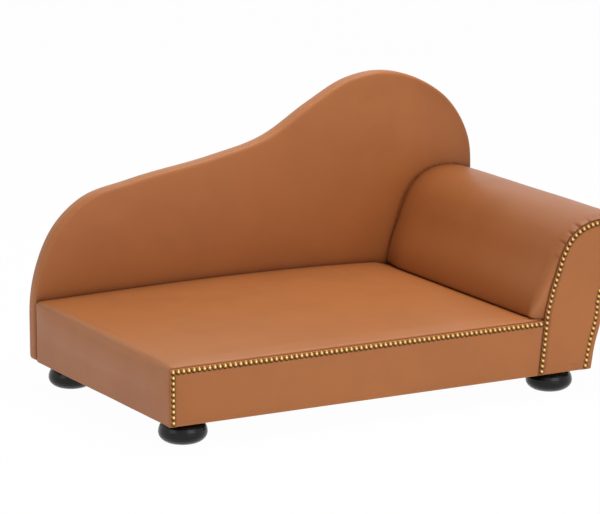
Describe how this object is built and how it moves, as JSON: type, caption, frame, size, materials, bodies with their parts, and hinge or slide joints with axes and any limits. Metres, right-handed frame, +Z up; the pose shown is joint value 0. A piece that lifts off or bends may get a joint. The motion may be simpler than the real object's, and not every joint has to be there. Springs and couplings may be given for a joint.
{
  "type": "dog sofa bed",
  "caption": "Low pet chaise with a padded seat, a swept back, one scroll arm with nail trim and round bun feet.",
  "frame": {"origin": "on the floor, under the middle of the whole sofa", "axes": "+X along the length from the open end to the arm, -Y towards the open front, +Z up"},
  "size_m": [0.966, 0.5642, 0.5185],
  "materials": {
    "timber": "sawn",
    "fibreboard": "smooth",
    "foam": "open cell",
    "tan_hide": "satin",
    "lining": "nonwoven",
    "antique_brass": "polished",
    "zinc_steel": "zinc plated",
    "black_foot": "satin"
  },
  "bodies": {
    "root": {"front_rail": "timber", "rear_rail": "timber", "left_rail": "timber", "right_rail": "timber", "centre_rail": "timber", "corner_blocks": "timber", "back_board": "timber", "arm_front_former": "timber", "arm_rear_former": "timber", "arm_base_board": "timber", "arm_inner_rail": "timber", "arm_stringers": "timber", "seat_deck": "fibreboard", "arm_panel": "fibreboard", "arm_outer_board": "fibreboard", "seat_foam": "foam", "back_foam": "foam", "arm_foam": "foam", "front_padding": "foam", "seat_cover": "tan_hide", "front_band": "tan_hide", "back_cover": "tan_hide", "back_rear_panel": "tan_hide", "arm_cover": "tan_hide", "arm_outer_cover": "tan_hide", "arm_rear_panel": "tan_hide", "arm_facing": "tan_hide", "dust_cover": "lining", "seat_nails": "antique_brass", "arm_nails": "antique_brass", "back_bolts": "zinc_steel", "back_washers": "zinc_steel", "back_t_nuts": "zinc_steel", "arm_bolts": "zinc_steel", "arm_washers": "zinc_steel", "arm_t_nuts": "zinc_steel", "foot_studs": "zinc_steel", "foot_t_nuts": "zinc_steel", "foot_front_left": "black_foot", "foot_front_right": "black_foot", "foot_rear_left": "black_foot", "foot_rear_right": "black_foot"}
  },
  "joints": []
}
